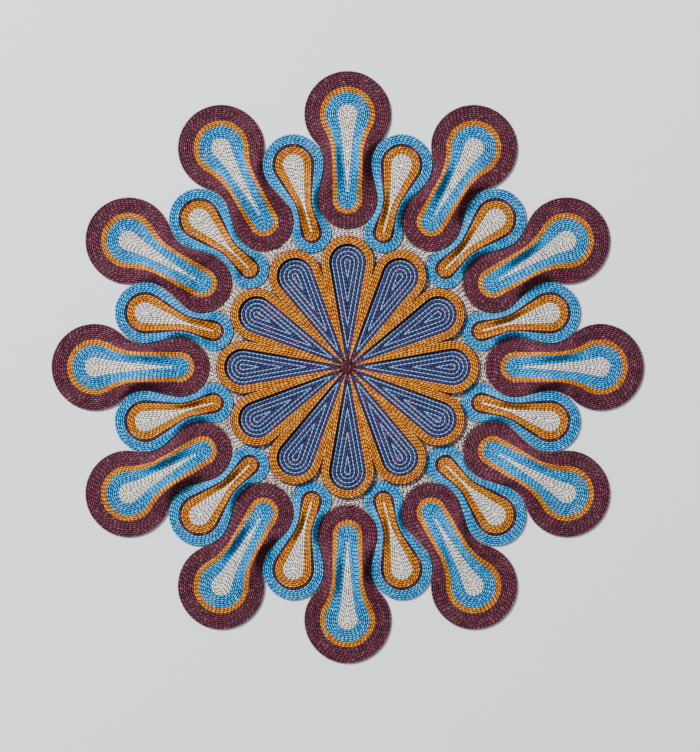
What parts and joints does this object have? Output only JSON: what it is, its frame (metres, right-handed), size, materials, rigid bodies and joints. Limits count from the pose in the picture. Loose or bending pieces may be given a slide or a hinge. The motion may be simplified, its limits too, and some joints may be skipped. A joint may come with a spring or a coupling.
{
  "type": "quilled paper wall rosette",
  "caption": "Round relief of quilled paper: ridged keyhole lobes of rolled strands around a petalled medallion, glued on a cut backing board.",
  "frame": {"origin": "centre of the backing board's back face, the lowest face of the object", "axes": "+Z out of the relief, away from the backing board; +Y along large lobe 01; lobes numbered clockwise seen from +Z"},
  "size_m": [0.6, 0.6, 0.0175],
  "materials": {
    "maroon_paper": "matte, tightly rolled strands",
    "blue_paper": "matte, tightly rolled strands",
    "orange_paper": "matte, tightly rolled strands",
    "cream_paper": "matte, tightly rolled strands",
    "petal_paper": "matte, tightly rolled strands, dark and pale in turn",
    "board": "matte card"
  },
  "bodies": {
    "root": {"backing_board": "board", "large_lobe_01_maroon_rim": "maroon_paper", "small_lobe_01_blue_rim": "blue_paper", "petal_01": "petal_paper", "petal_frame_01": "orange_paper", "large_lobe_02_maroon_rim": "maroon_paper", "small_lobe_02_blue_rim": "blue_paper", "petal_02": "petal_paper", "petal_frame_02": "orange_paper", "large_lobe_03_maroon_rim": "maroon_paper", "small_lobe_03_blue_rim": "blue_paper", "petal_03": "petal_paper", "petal_frame_03": "orange_paper", "large_lobe_04_maroon_rim": "maroon_paper", "small_lobe_04_blue_rim": "blue_paper", "petal_04": "petal_paper", "petal_frame_04": "orange_paper", "large_lobe_05_maroon_rim": "maroon_paper", "small_lobe_05_blue_rim": "blue_paper", "petal_05": "petal_paper", "petal_frame_05": "orange_paper", "large_lobe_06_maroon_rim": "maroon_paper", "small_lobe_06_blue_rim": "blue_paper", "petal_06": "petal_paper", "petal_frame_06": "orange_paper", "large_lobe_07_maroon_rim": "maroon_paper", "small_lobe_07_blue_rim": "blue_paper", "petal_07": "petal_paper", "petal_frame_07": "orange_paper", "large_lobe_08_maroon_rim": "maroon_paper", "small_lobe_08_blue_rim": "blue_paper", "petal_08": "petal_paper", "petal_frame_08": "orange_paper", "large_lobe_09_maroon_rim": "maroon_paper", "small_lobe_09_blue_rim": "blue_paper", "petal_09": "petal_paper", "petal_frame_09": "orange_paper", "large_lobe_10_maroon_rim": "maroon_paper", "small_lobe_10_blue_rim": "blue_paper", "petal_10": "petal_paper", "petal_frame_10": "orange_paper", "large_lobe_11_maroon_rim": "maroon_paper", "small_lobe_11_blue_rim": "blue_paper", "petal_11": "petal_paper", "petal_frame_11": "orange_paper", "large_lobe_12_maroon_rim": "maroon_paper", "small_lobe_12_blue_rim": "blue_paper", "petal_12": "petal_paper", "petal_frame_12": "orange_paper", "large_lobe_orange_lines": "orange_paper", "large_lobe_blue_fills": "blue_paper", "large_lobe_cream_cores": "cream_paper", "small_lobe_maroon_lines": "maroon_paper", "small_lobe_orange_fills": "orange_paper", "small_lobe_cream_cores": "cream_paper", "cream_ground": "cream_paper", "centre_knot": "maroon_paper"}
  },
  "joints": []
}
